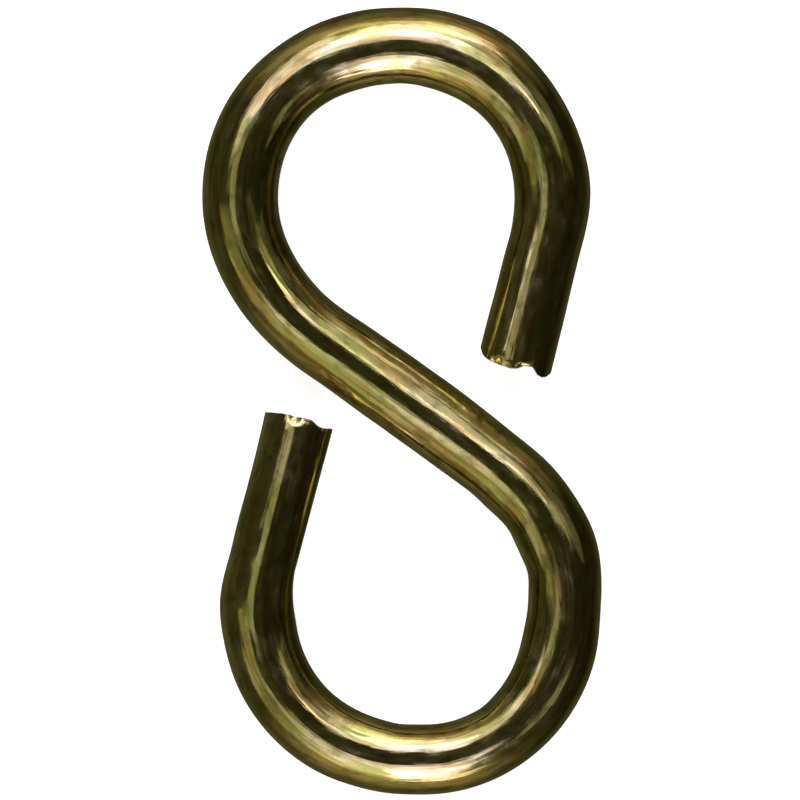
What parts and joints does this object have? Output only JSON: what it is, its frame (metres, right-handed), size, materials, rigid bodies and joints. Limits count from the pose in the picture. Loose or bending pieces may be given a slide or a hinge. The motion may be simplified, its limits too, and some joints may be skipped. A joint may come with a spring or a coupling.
{
  "type": "s hook",
  "caption": "Closed-pattern S hook of round brass wire, with a nearly shut eye at either end of a slanting shank, for joining links, rings and wire loops.",
  "frame": {"origin": "on the plate the hook lies on, under the middle of the shank", "axes": "+Y along the hook towards the upper eye, +X to the right seen from above with +Y up, +Z up from the plate, square to the plane of the eyes"},
  "size_m": [0.0255, 0.0501, 0.0048],
  "materials": {
    "brass": "bright drawn wire, lightly tarnished, with bare torn ends"
  },
  "bodies": {
    "root": {"s_hook": "brass"}
  },
  "joints": []
}
